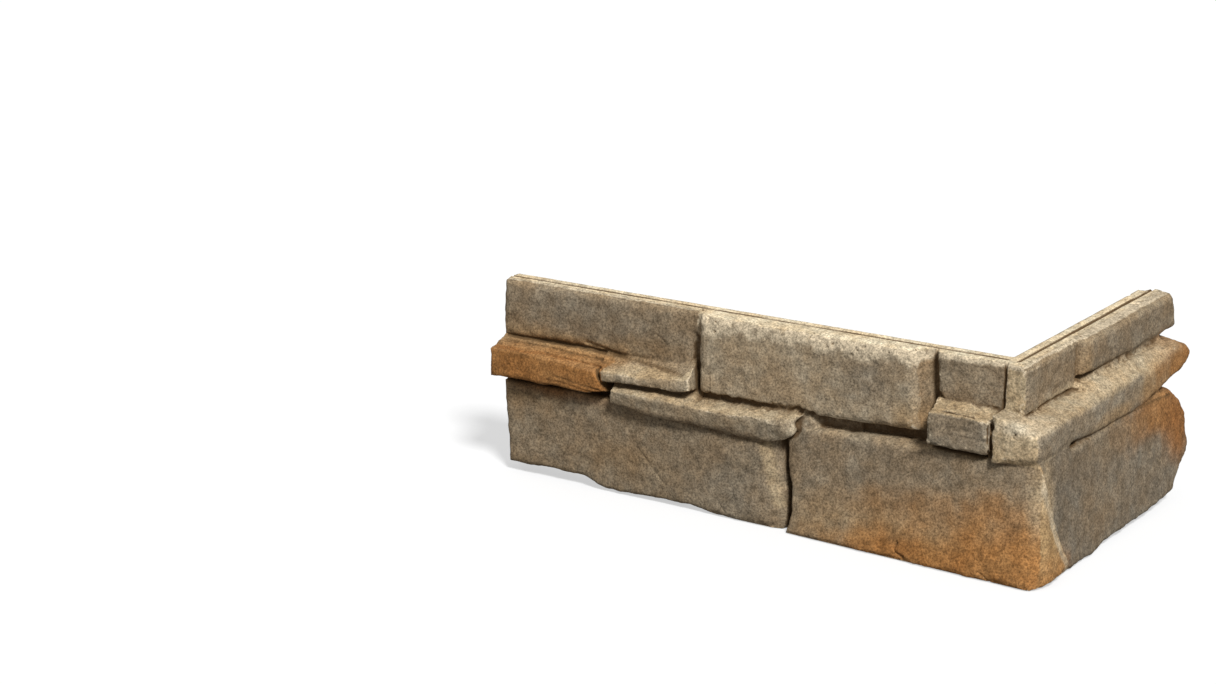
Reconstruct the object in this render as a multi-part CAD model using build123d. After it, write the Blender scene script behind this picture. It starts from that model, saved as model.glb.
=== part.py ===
from build123d import *
import os
from dataclasses import dataclass
from math import cos, hypot, radians, sin

# A corner unit of cast stone cladding: one L-shaped casting whose outer faces
# imitate hewn ledge stones laid in thin courses.
# +Z is up. +X runs along the long leg to the corner, +Y back along the return leg.
# The origin is the foot of the inside corner, where the unit meets the wall's arris.
# All sizes are in millimetres. A slope is a rise over a run.

# Overall sizes
LONG_LEG = 413.0
RETURN_LEG = 210.0
HEIGHT = 150.0
BACKING = 10.0

# The line scored along the top, just inside the front of the backing
GROOVE_WIDTH = 1.4
GROOVE_DEPTH = 1.6
GROOVE_SETBACK = 1.5

# Joints, and how the stones' sides slope and reach into the backing
JOINT = 5.0
HAIRLINE = 0.8
DRAFT = 0.16
WEDGE_UNDERCUT = -0.15
SLAB_UNDERCUT = -0.3
SQUARE = 0.0
BURIED = 3.0
ARRIS_STEPS = 4

# Head joints, as x on the long leg and y on the return leg
HEAD_LEDGE = -318.0
HEAD_TOP_LEFT = -241.0
HEAD_LOWER = -165.5
HEAD_TOP_RIGHT = -55.0
HEAD_SMALL = -46.0
HEAD_CORNER = 3.0
HEAD_RETURN = 64.0

# Depths of the beds below the top
TOP_LEFT_TALL = 44.0
TOP_MIDDLE_TALL = 61.5
TOP_RIGHT_TALL = 35.5
RETURN_RIGHT_TALL = 28.0
UPPER_COURSES = 62.5
LEDGE_DROP = 72.0
SLAB_DROP = 84.0

# Heights of the thin stones
LEDGE_TALL = 22.0
WEDGE_TALL = 8.5
SLAB_TALL = 18.0
SMALL_TALL = 21.5
CORNER_SLAB_TALL = 21.0

# How far the stones stand out from the wall faces
PROUD_TOP_LEFT = 21.0
PROUD_TOP_MIDDLE = 26.0
PROUD_TOP_RIGHT = 18.0
PROUD_RETURN_LEFT = 19.5
PROUD_RETURN_RIGHT = 27.0
PROUD_RETURN_LEDGE = 32.0
PROUD_LEDGE = 37.0
PROUD_SLAB = 39.0
PROUD_SMALL = 39.5
PROUD_LOWER_LEFT = 27.0
PROUD_LOWER_RIGHT = 36.0
PROUD_LOWER_RETURN = 43.0
LEDGE_STEP = 6.5

# How the lower stones' faces turn out towards the corner and lean out at the foot
LOWER_LEFT_SWING = 0.033
LOWER_RIGHT_SWING = 0.07
LOWER_RIGHT_LEAN = -0.16
LOWER_RETURN_LEAN = -0.09

# The bevelled end of the long slab
SLAB_END_BEVEL = 4.0

# The spalled corner of the lower stone, and the worn edge of its neighbour
FLARE_OUT = 5.0
FLARE_STEP = 2.0
FLARE_BACK = 2.0
FLARE_HEAD_SETBACK = 2.5
FLARE_RISE = 5.0
FLARE_ROUND = 28.0
WORN_EDGE = 13.0
WORN_EDGE_DEPTH = 5.0

# How far ragged ends overhang the ends of the legs
LEFT_OVERHANG = 2.0
RIGHT_OVERHANG = 8.0

# The broken foot at the left end
BREAK_LENGTH = 93.0
BREAK_RUN = 17.0
BREAK_RISE = 7.5

# Lines that several stones share
LEFT = -LONG_LEG
BREAK_RIGHT = LEFT + BREAK_LENGTH
GROOVE_INSET = BACKING - GROOVE_SETBACK
BED_TOP_LEFT = HEIGHT - TOP_LEFT_TALL
BED_TOP_MIDDLE = HEIGHT - TOP_MIDDLE_TALL
BED_TOP_RIGHT = HEIGHT - TOP_RIGHT_TALL
BED_RETURN = HEIGHT - RETURN_RIGHT_TALL
BED_LOWER = HEIGHT - UPPER_COURSES
BED_LEDGE = HEIGHT - LEDGE_DROP
BED_SLAB = HEIGHT - SLAB_DROP
FRONT = Plane.XZ
RETURN = Plane.YZ


def ragged(corners, bumps):
    """An outline through the corners, with bumps on its edges.

    bumps gives, by the number of an edge, its points as a share of the edge and a distance out from it.
    """
    points = []
    for i, (u0, z0) in enumerate(corners):
        u1, z1 = corners[(i + 1) % len(corners)]
        length = hypot(u1 - u0, z1 - z0)
        out_u, out_z = (z1 - z0) / length, (u0 - u1) / length
        points.append((u0, z0))
        for share, out in bumps.get(i, []):
            points.append((u0 + share * (u1 - u0) + out * out_u, z0 + share * (z1 - z0) + out * out_z))
    return points


def moved_out(outline, distance):
    """The outline with each edge moved out by distance(out_u, out_z), from its outward direction."""
    count = len(outline)
    lines = []
    for i in range(count):
        (u0, z0), (u1, z1) = outline[i], outline[(i + 1) % count]
        length = hypot(u1 - u0, z1 - z0)
        out_u, out_z = (z1 - z0) / length, (u0 - u1) / length
        lines.append((out_u, out_z, out_u * u0 + out_z * z0 + distance(out_u, out_z)))
    corners = []
    for i in range(count):
        (a, b, c), (d, e, f) = lines[i - 1], lines[i]
        cross = a * e - b * d
        corners.append(((c * e - b * f) / cross, (a * f - c * d) / cross))
    return corners


def plane_through(first, second, third):
    """The plane through three points, facing the side from which they run anticlockwise."""
    return Plane(first, x_dir=second - first, z_dir=(second - first).cross(third - first))


@dataclass
class Stone:
    """One stone of the face: an outline at its shoulder, drafted back to the backing.

    The outline runs anticlockwise seen from outside, as distances along the leg and heights.
    swing and lean are the slopes of the face towards the right and towards the top.
    up, down, left and right are the slopes of the sides. cuts are planes that trim the block.
    """

    leg: Plane
    outline: list
    proud: float
    arris: float
    swing: float = 0.0
    lean: float = 0.0
    up: float = DRAFT
    down: float = DRAFT
    left: float = DRAFT
    right: float = DRAFT
    root: float = BACKING - BURIED
    cuts: tuple = ()

    def proud_at(self, u, z):
        """How far the face stands out at a point of the leg."""
        us = [point[0] for point in self.outline]
        zs = [point[1] for point in self.outline]
        mid_u = (min(us) + max(us)) / 2
        mid_z = (min(zs) + max(zs)) / 2
        return self.proud + self.swing * (u - mid_u) + self.lean * (z - mid_z)

    def point(self, u, z, behind=0.0):
        """The place of a point of the leg that lies behind the face by a distance."""
        return self.leg.from_local_coords(Vector(u, z, self.proud_at(u, z) - behind))

    def ring(self, outline, behind):
        """The outline on a plane behind the face."""
        return Face(Wire.make_polygon([self.point(u, z, behind) for u, z in outline], close=True))

    def side_slope(self, out_u, out_z):
        """The slope of the side that faces a direction, blended between the four sides."""
        side = self.right if out_u > 0 else self.left
        level = self.up if out_z > 0 else self.down
        return side * out_u**2 + level * out_z**2

    def solid(self):
        """The block, lofted from its root over the shoulder and the rounded arris to the face."""
        depth = self.proud - self.root
        run = depth - self.arris
        root = moved_out(self.outline, lambda out_u, out_z: run * self.side_slope(out_u, out_z))
        rings = [self.ring(root, depth), self.ring(self.outline, self.arris)]
        for step in range(1, ARRIS_STEPS + 1):
            turn = radians(90 * step / ARRIS_STEPS)
            inset = self.arris * (1 - cos(turn))
            inner = moved_out(self.outline, lambda out_u, out_z: -inset)
            rings.append(self.ring(inner, self.arris * (1 - sin(turn))))
        block = loft(rings, ruled=True)
        for plane in self.cuts:
            block = split(block, plane, keep=Keep.BOTTOM)
        return block


def top_course():
    """The blocks under the top edge: three on the long leg and two on the return."""
    left_end, right_end = HEAD_TOP_LEFT - JOINT, HEAD_TOP_LEFT + JOINT / 2
    corners = [(LEFT, BED_TOP_LEFT), (left_end, BED_TOP_LEFT - 3), (left_end, HEIGHT), (LEFT, HEIGHT)]
    left = Stone(FRONT, ragged(corners, {0: [(0.3, -3), (0.65, -2)]}), PROUD_TOP_LEFT, arris=5)
    left.left = left.up = SQUARE

    corners = [
        (right_end, BED_TOP_MIDDLE),
        (HEAD_TOP_RIGHT - JOINT, BED_TOP_MIDDLE + 3.5),
        (HEAD_TOP_RIGHT - 2 * JOINT, HEIGHT),
        (right_end, HEIGHT),
    ]
    bumps = {0: [(0.18, -0.5), (0.31, 2.6), (0.44, 3), (0.65, 0.8)]}
    middle = Stone(FRONT, ragged(corners, bumps), PROUD_TOP_MIDDLE, arris=5, right=0.9)
    middle.up = SQUARE

    corners = [
        (HEAD_TOP_RIGHT + 12, BED_TOP_RIGHT + 1.5),
        (HEAD_CORNER - HAIRLINE, BED_TOP_RIGHT + 2),
        (HEAD_CORNER - HAIRLINE, HEIGHT),
        (HEAD_TOP_RIGHT + 4, HEIGHT),
    ]
    right = Stone(FRONT, ragged(corners, {3: [(0.83, 3.3)]}), PROUD_TOP_RIGHT, arris=3)
    right.up = right.right = SQUARE

    end = HEAD_RETURN - JOINT / 2
    corners = [
        (-PROUD_RETURN_LEFT, BED_TOP_RIGHT),
        (end, BED_TOP_RIGHT),
        (end, HEIGHT),
        (-PROUD_RETURN_LEFT, HEIGHT),
    ]
    return_left = Stone(RETURN, ragged(corners, {0: [(0.8, -1.5)]}), PROUD_RETURN_LEFT, arris=3)
    return_left.up = return_left.left = SQUARE
    return_left.root = HEAD_CORNER + HAIRLINE

    corners = [
        (HEAD_RETURN - 2, BED_RETURN + 2.5),
        (RETURN_LEG + RIGHT_OVERHANG + 4, BED_RETURN),
        (RETURN_LEG + RIGHT_OVERHANG - 2, HEIGHT),
        (HEAD_RETURN - 2, HEIGHT),
    ]
    return_right = Stone(RETURN, ragged(corners, {0: [(0.5, 1)]}), PROUD_RETURN_RIGHT, arris=5)
    return_right.up = return_right.right = SQUARE
    return [left, middle, right, return_left, return_right]


def stepped_ledge():
    """The thin stone at the left end, split along its bedding into three steps."""
    low, high = BED_LEDGE, BED_LEDGE + LEDGE_TALL
    end = LEFT - LEFT_OVERHANG
    corners = [(end, low), (HEAD_LEDGE + 3, low + 3), (HEAD_LEDGE - 5, high - 3), (end, high)]
    bumps = {0: [(0.54, 0.6), (0.85, 2)], 2: [(0.155, 0.6), (0.67, 2.5)]}
    lowest = Stone(FRONT, ragged(corners, bumps), PROUD_LEDGE, arris=2)

    end = LEFT - LEFT_OVERHANG / 2
    corners = [(end, low + 10), (HEAD_LEDGE, low + 10), (HEAD_LEDGE + 2, high), (end, high + 3.5)]
    middle = Stone(FRONT, ragged(corners, {2: [(0.31, 1)]}), PROUD_LEDGE - LEDGE_STEP, arris=1.5)

    corners = [(LEFT, low + 17), (HEAD_LEDGE + 5, low + 17), (HEAD_LEDGE + 8, high + 4), (LEFT, high + 5.5)]
    highest = Stone(FRONT, ragged(corners, {2: [(0.4, 1)]}), PROUD_LEDGE - 2 * LEDGE_STEP, arris=1.5)
    steps = [lowest, middle, highest]
    for step in steps:
        step.left = SQUARE
    return steps


def thin_stones():
    """The wedge, the long slab and the small block on the long leg."""
    foot = BED_TOP_MIDDLE + 0.5
    corners = [
        (HEAD_LEDGE + 1, foot),
        (HEAD_TOP_LEFT - 9, foot + 2),
        (HEAD_TOP_LEFT + 1.5, foot + 5),
        (HEAD_TOP_LEFT + 0.5, foot + WEDGE_TALL + 6),
        (HEAD_LEDGE, foot + WEDGE_TALL),
    ]
    bumps = {0: [(0.46, -1.1)], 3: [(0.32, -1.9), (0.61, -2)]}
    wedge = Stone(FRONT, ragged(corners, bumps), PROUD_LEDGE, arris=2, up=0.6)
    wedge.right = WEDGE_UNDERCUT

    corners = [
        (HEAD_LEDGE + 8, BED_SLAB + 6),
        (HEAD_LOWER - 4.5, BED_SLAB),
        (HEAD_LOWER + 22.5, BED_SLAB + SLAB_TALL),
        (HEAD_LOWER + 12.5, BED_SLAB + SLAB_TALL + 3),
        (HEAD_LEDGE + 10, BED_SLAB + SLAB_TALL),
    ]
    bumps = {0: [(0.25, 2), (0.62, 0.4), (0.81, 1.1)], 1: [(0.35, 1.5)], 3: [(0.4, -2.8), (0.79, 0.2)]}
    slab = Stone(FRONT, ragged(corners, bumps), PROUD_SLAB, arris=2, up=0.4)
    slab.right, slab.down = SLAB_UNDERCUT, SQUARE
    end_low = slab.point(HEAD_LOWER - 10.5, BED_SLAB)
    end_back = slab.point(HEAD_LOWER + 19.5, BED_SLAB + SLAB_TALL, SLAB_END_BEVEL)
    end_top = slab.point(HEAD_LOWER + 11, BED_SLAB + SLAB_TALL)
    slab.cuts = (plane_through(end_low, end_back, end_top),)

    foot = BED_LOWER + 1.5
    end = HEAD_CORNER - HAIRLINE
    corners = [(HEAD_SMALL, foot), (end, foot), (end, foot + SMALL_TALL), (HEAD_SMALL, foot + SMALL_TALL)]
    small = Stone(FRONT, ragged(corners, {0: [(0.5, 0.8)], 2: [(0.6, 1)]}), PROUD_SMALL, arris=3, up=0.3)
    small.right = SQUARE
    return [wedge, slab, small]


def corner_slab():
    """The thin slab that turns the corner to a rounded tongue, and the ledge on its back."""
    foot = BED_LOWER + 1.5
    head = foot + CORNER_SLAB_TALL
    corners = [
        (-PROUD_SLAB, foot),
        (RETURN_LEG - 29, foot + 2),
        (RETURN_LEG - 4, foot + 6),
        (RETURN_LEG + RIGHT_OVERHANG, foot + 14),
        (RETURN_LEG + RIGHT_OVERHANG - 2, head),
        (RETURN_LEG - 18, head + 9),
        (RETURN_LEG - 52, head),
        (-PROUD_SLAB, head),
    ]
    bumps = {
        0: [(0.13, 2.8), (0.295, 0.3), (0.405, 4.3), (0.62, 5.7), (0.845, 5.2)],
        6: [(0.2, 3.5), (0.395, 5), (0.46, 0.3)],
    }
    slab = Stone(RETURN, ragged(corners, bumps), PROUD_SLAB + 1, arris=5, up=0.3)
    slab.left = slab.right = SQUARE
    slab.root = HEAD_CORNER + HAIRLINE

    corners = [
        (HEAD_RETURN - 10, head - 2),
        (RETURN_LEG - 20, head - 2),
        (RETURN_LEG - 14, head + 8),
        (HEAD_RETURN + 16, head + 9),
        (HEAD_RETURN - 5, head + 5),
    ]
    ledge = Stone(RETURN, corners, PROUD_RETURN_LEDGE, arris=3, up=0.5)
    return [slab, ledge]


def lower_course():
    """The large stones at the foot: one at the left, and one that turns the corner."""
    end = HEAD_LOWER - JOINT / 2
    corners = [
        (LEFT + 5, BREAK_RISE),
        (BREAK_RIGHT - BREAK_RUN, BREAK_RISE),
        (BREAK_RIGHT, 1.5),
        (end, 0),
        (end, BED_LEDGE - 8),
        (end - 16, BED_LEDGE - 3),
        (LEFT, BED_LEDGE - 6),
    ]
    left = Stone(FRONT, ragged(corners, {2: [(0.49, -2.2), (0.75, 0.3)]}), PROUD_LOWER_LEFT, arris=4)
    left.swing = LOWER_LEFT_SWING
    left.left = left.down = SQUARE
    left.root = 3
    worn_foot = left.point(end, 0, WORN_EDGE_DEPTH)
    worn_top = left.point(end - WORN_EDGE, HEIGHT)
    left.cuts = (plane_through(worn_foot, left.point(end, HEIGHT, WORN_EDGE_DEPTH), worn_top),)

    corners = [(-38, 1), (RETURN_LEG - 25, 8), (RETURN_LEG - 23, BED_LOWER - 2), (-38, BED_LOWER - 2)]
    bumps = {
        0: [(0.37, 2.4), (0.475, 0.3), (0.785, 2.4)],
        1: [(0.185, 15.6), (0.28, 28.5), (0.385, 31), (0.517, 26), (0.66, 27.7), (0.86, 16.3)],
    }
    back = Stone(RETURN, ragged(corners, bumps), PROUD_LOWER_RETURN, arris=3, root=2)
    back.lean = LOWER_RETURN_LEAN
    back.left = back.right = SQUARE

    beyond = PROUD_LOWER_RETURN + 17
    corners = [
        (HEAD_LOWER + JOINT / 2, 0),
        (beyond, 0),
        (beyond, BED_LOWER - 1),
        (HEAD_SMALL, BED_LOWER - 3.5),
        (HEAD_LOWER + 75, BED_LOWER - 6),
        (HEAD_LOWER + 16, BED_LOWER - 9),
        (HEAD_LOWER + 1, BED_LOWER - 19),
    ]
    bumps = {6: [(0.45, -2.9), (0.68, -2.3)]}
    right = Stone(FRONT, ragged(corners, bumps), PROUD_LOWER_RIGHT, arris=4, root=-16)
    right.swing = LOWER_RIGHT_SWING
    right.lean = LOWER_RIGHT_LEAN
    right.left = right.up = 0.05
    right.right = SQUARE
    facet, edge, bevels, underside = flare(right, back)
    right.cuts = (facet, edge, *bevels, underside)
    skin = plane_through(right.point(0, 0, 1), right.point(HEIGHT, 0, 1), right.point(0, HEIGHT, 1))
    back.cuts = (*bevels, skin)
    return [left, back, right]


def flare(front, back):
    """The cuts that leave the corner stone's spalled end, where its front and back faces meet.

    The facet widens from the head to the foot, and ends at an edge that stands proud of the back
    face. The bevels round the front face into the facet, and all run out at its head. The underside
    rises from the tip to the foot of the facet.
    """
    foot, head = 2.5, BED_LOWER - 1
    tip_x = back.proud_at(0, foot) + FLARE_OUT
    tip = front.point(tip_x, foot)
    head_y = FLARE_HEAD_SETBACK - front.proud_at(back.proud_at(0, head), head)
    foot_end = back.point(FLARE_BACK, foot)
    head_end = back.point(head_y, head)
    step = Vector(FLARE_STEP, 0, 0)
    facet = plane_through(tip, foot_end + step, head_end + step)
    edge = plane_through(head_end, foot_end, foot_end + Vector(-1, 1, 0))
    underside = plane_through(tip, Vector(BACKING, 0, 0), foot_end + Vector(0, 0, FLARE_RISE))
    near = front.point(tip_x - FLARE_ROUND, foot)
    far = tip + (foot_end + step - tip).normalized() * FLARE_ROUND
    bevels = []
    for share in (0.2, 0.4, 0.6, 0.8):
        start = near + (tip - near) * share
        end = tip + (far - tip) * share
        bevels.append(plane_through(start, end, head_end + step))
    return facet, edge, tuple(bevels), underside


def backing():
    """The flat-backed L that carries the stones, with its foot broken away at the left."""
    long_leg = Pos(LEFT, -BACKING, 0) * Box(LONG_LEG + BACKING, BACKING, HEIGHT, align=Align.MIN)
    return_leg = Pos(0, -BACKING, 0) * Box(BACKING, RETURN_LEG + BACKING, HEIGHT, align=Align.MIN)
    slope_top = BREAK_RIGHT - BREAK_RUN
    outline = Polyline((LEFT, 0), (BREAK_RIGHT, 0), (slope_top, BREAK_RISE), (LEFT, BREAK_RISE), close=True)
    broken = extrude(FRONT * make_face(outline), BACKING)
    return long_leg + return_leg - broken


def groove():
    """The scored line along the top of both legs."""
    run = LONG_LEG + GROOVE_INSET
    back = RETURN_LEG + GROOVE_INSET
    on_long_leg = Box(run, GROOVE_WIDTH, GROOVE_DEPTH, align=(Align.MIN, Align.CENTER, Align.MAX))
    on_return = Box(GROOVE_WIDTH, back, GROOVE_DEPTH, align=(Align.CENTER, Align.MIN, Align.MAX))
    corner = Pos(GROOVE_INSET, -GROOVE_INSET, HEIGHT)
    return Pos(LEFT, -GROOVE_INSET, HEIGHT) * on_long_leg + corner * on_return


def corner_slip():
    """The backing and its stones as one casting, trimmed to the course height and the wall."""
    body = backing()
    for stone in top_course() + stepped_ledge() + thin_stones() + corner_slab() + lower_course():
        body += stone.solid()
    reach = LONG_LEG + RETURN_LEG
    course = Box(2 * reach, 2 * reach, HEIGHT, align=(Align.CENTER, Align.CENTER, Align.MIN))
    wall = Box(reach, reach, HEIGHT, align=(Align.MAX, Align.MIN, Align.MIN))
    return (body & course) - wall - groove()


os.makedirs("parts", exist_ok=True)
export_step(corner_slip(), "parts/corner_slip.step")
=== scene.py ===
"""The looks of a stone cladding corner slip, one casting of coloured concrete.

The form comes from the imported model. This script gives it the relief and the
colours of hewn ledge stone, and sets it in a plain studio.
"""

import logging
import math
from dataclasses import dataclass
from enum import Enum

import bpy
import numpy as np
from mathutils import Euler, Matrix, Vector
from mathutils.bvhtree import BVHTree


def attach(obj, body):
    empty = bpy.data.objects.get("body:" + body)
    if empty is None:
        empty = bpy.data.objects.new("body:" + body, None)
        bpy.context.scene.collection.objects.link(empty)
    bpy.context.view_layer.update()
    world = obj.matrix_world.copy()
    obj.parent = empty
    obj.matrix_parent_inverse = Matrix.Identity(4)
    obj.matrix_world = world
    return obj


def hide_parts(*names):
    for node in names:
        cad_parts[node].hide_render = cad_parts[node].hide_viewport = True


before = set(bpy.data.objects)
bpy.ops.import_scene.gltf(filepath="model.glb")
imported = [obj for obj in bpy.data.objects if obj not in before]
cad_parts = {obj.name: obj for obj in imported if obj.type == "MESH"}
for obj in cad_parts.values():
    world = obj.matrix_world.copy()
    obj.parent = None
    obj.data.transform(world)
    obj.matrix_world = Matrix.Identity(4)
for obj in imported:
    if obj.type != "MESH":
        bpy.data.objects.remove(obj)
log = logging.getLogger("corner_slip")

MM = 0.001
Colour = tuple[float, float, float]
Place = tuple[float, float, float]
Points = tuple[tuple[float, float], ...]

# Lengths in millimetres: beyond any other, how near a flat face counts as on it, and the
# depth behind which the corner belongs to the return leg.
FAR = 1e9
SKIN = 0.7
CORNER_BACK = -9.0

# How the lattice of the noises lies, and the numbers that scramble its cells.
LATTICE_TURN = (0.6, 0.4, 0.9)
LATTICE_SHIFT = 1000.0
HASH_AXES = (73856093, 19349663, 83492791)
HASH_SEED = 2654435761
HASH_ROUNDS = ((15, 2246822519), (13, 3266489917))
HASH_BITS = 0xFFFFFFFF
HASH_LEVELS = 0xFFFF


class Leg(Enum):
    """The two legs of the unit."""

    LONG = "long"
    RETURN = "return"


class Mask(Enum):
    """The parts of the surface that take a kind of relief, as vertex groups."""

    LOOSE = "loose"
    RUBBED = "rubbed"
    FACE = "face"
    ARRIS = "arris"
    BEDDING = "bedding"
    WALL = "wall"


class Pigment(Enum):
    """The colours of the concrete, in linear light. The joint brown is also laid as painted shade."""

    TAUPE = (0.238, 0.180, 0.117)
    WARM_TAUPE = (0.250, 0.174, 0.100)
    PALE_TAUPE = (0.330, 0.258, 0.172)
    BLUE_GREY = (0.238, 0.192, 0.136)
    DARK_GREY = (0.178, 0.143, 0.102)
    SAND = (0.405, 0.308, 0.188)
    CREAM = (0.515, 0.425, 0.298)
    CHALK = (0.660, 0.545, 0.372)
    TAN = (0.335, 0.212, 0.100)
    OCHRE = (0.295, 0.140, 0.048)
    ORANGE = (0.350, 0.160, 0.050)
    RUST = (0.255, 0.113, 0.038)
    # Dark brown of the joints; it is also laid as painted shade in closed-in places, in the scored groove
    # and along some lines.
    JOINT = (0.105, 0.062, 0.028)


@dataclass(frozen=True)
class StoneFace:
    """The outline of a stone on its leg, in millimetres, and its finish.

    bedding is how strongly its thin layers show. worn is how much cream shows on its
    edges, and crown how far the cream runs down from the top of the unit, in millimetres.
    """

    leg: Leg
    outline: Points
    pigment: Pigment
    bedding: float = 0.0
    worn: float = 0.8
    crown: float = 0.0


class Stone(Enum):
    """The stones of the face, each with its outline along the leg and up."""

    TOP_LEFT = StoneFace(
        Leg.LONG, ((-416, 107), (-246, 103), (-243, 152), (-416, 152)), Pigment.TAUPE, 0.0, 0.15, 0.8
    )
    TOP_MIDDLE = StoneFace(
        Leg.LONG, ((-241, 88), (-60, 92), (-65, 152), (-241, 152)), Pigment.PALE_TAUPE, crown=14.0
    )
    TOP_MIDDLE_END = StoneFace(
        Leg.LONG, ((-59, 92), (-47, 92), (-50, 152), (-64, 152)), Pigment.WARM_TAUPE, worn=0.4, crown=8.0
    )
    TOP_RIGHT = StoneFace(
        Leg.LONG, ((-46, 115), (2, 115), (2, 152), (-49, 152)), Pigment.TAUPE, crown=5.0
    )
    RETURN_LEFT_END = StoneFace(
        Leg.LONG, ((3, 113), (26, 113), (26, 152), (3, 152)), Pigment.SAND, crown=4.0
    )
    LEDGE = StoneFace(
        Leg.LONG, ((-418, 77), (-315, 80), (-311, 106), (-418, 109)), Pigment.OCHRE, 0.6, 0.1
    )
    WEDGE = StoneFace(
        Leg.LONG,
        ((-318, 88), (-250, 90), (-236, 96), (-238, 106), (-319, 100)),
        Pigment.PALE_TAUPE,
        bedding=0.3,
        worn=0.75,
    )
    SLAB = StoneFace(
        Leg.LONG,
        ((-311, 71), (-170, 65), (-142, 85), (-152, 88), (-309, 86)),
        Pigment.PALE_TAUPE,
        bedding=0.3,
        worn=0.6,
    )
    SMALL = StoneFace(Leg.LONG, ((-48, 88), (2, 88), (2, 113), (-48, 113)), Pigment.BLUE_GREY, 0.8, 0.9)
    CORNER_SLAB_END = StoneFace(Leg.LONG, ((3, 86), (46, 84), (46, 112), (3, 112)), Pigment.SAND, 0.8)
    LOWER_LEFT = StoneFace(
        Leg.LONG, ((-416, -2), (-172, -2), (-182, 78), (-416, 78)), Pigment.TAUPE, worn=0.3
    )
    LOWER_LEFT_EDGE = StoneFace(
        Leg.LONG, ((-170, 8), (-166, 8), (-166, 70), (-181, 70)), Pigment.TAUPE, worn=0.3
    )
    LOWER_RIGHT = StoneFace(
        Leg.LONG, ((-164, -2), (66, -2), (66, 86), (-164, 82)), Pigment.TAUPE, worn=0.3
    )
    RETURN_LEFT = StoneFace(
        Leg.RETURN, ((-26, 113), (61, 113), (61, 152), (-26, 152)), Pigment.TAUPE, worn=0.45, crown=1.5
    )
    RETURN_RIGHT = StoneFace(
        Leg.RETURN, ((63, 121), (220, 120), (220, 152), (63, 152)), Pigment.TAUPE, worn=0.25, crown=0.6
    )
    CORNER_SLAB = StoneFace(
        Leg.RETURN, ((-46, 88), (220, 86), (220, 121), (62, 121), (-46, 113)), Pigment.BLUE_GREY, 0.3, 0.5
    )
    LOWER_END = StoneFace(
        Leg.RETURN,
        ((-60, -2), (3.5, -2), (1.5, 2.5), (-8, 20), (-18, 38), (-26, 60), (-32.5, 86.5), (-60, 87)),
        Pigment.TAN,
        worn=0.7,
    )
    LOWER_RETURN = StoneFace(
        Leg.RETURN,
        ((4, -2), (226, -2), (226, 86), (-32, 87), (-25.5, 60), (-17.5, 38), (-7.5, 20), (2, 2.5)),
        Pigment.DARK_GREY,
        worn=0.15,
    )


@dataclass(frozen=True)
class Patch:
    """A soft patch of another pigment: its middle and its half sizes on a leg, in millimetres."""

    leg: Leg
    middle: tuple[float, float]
    reach: tuple[float, float]
    pigment: Pigment
    strength: float


@dataclass(frozen=True)
class Streak:
    """A soft line of another pigment, or of painted shade, on a leg, in millimetres."""

    leg: Leg
    line: Points
    width: float
    pigment: Pigment
    strength: float


@dataclass(frozen=True)
class RubbedPlace:
    """A part of the unit that is rubbed round: the middle and half sizes of a box, in millimetres."""

    middle: Place
    reach: Place


@dataclass(frozen=True)
class Nudge:
    """A part of the unit that stands a little aside: the middle and half sizes of a box, and its push."""

    middle: Place
    reach: Place
    push: Place


@dataclass(frozen=True)
class Filling:
    """A box of concrete that has run into a joint: its two corners, in millimetres."""

    low: Place
    high: Place


@dataclass(frozen=True)
class Crack:
    """A fine crack or scored line on a leg, in millimetres."""

    leg: Leg
    line: Points
    width: float
    depth: float


@dataclass(frozen=True)
class Pit:
    """A small hole in a face, in millimetres."""

    leg: Leg
    middle: tuple[float, float]
    radius: float
    depth: float


@dataclass(frozen=True)
class Relief:
    """Relief that a noise gives to a masked part of the surface, in millimetres.

    grain is the size of its features along, across and up the unit. level is the share of
    the noise that leaves the surface where it is. A sideways relief moves the surface in all
    directions, so that straight edges come out uneven.
    """

    name: str
    mask: Mask
    grain: Place
    depth: float
    level: float = 0.5
    octaves: int = 2
    sideways: bool = False


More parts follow.
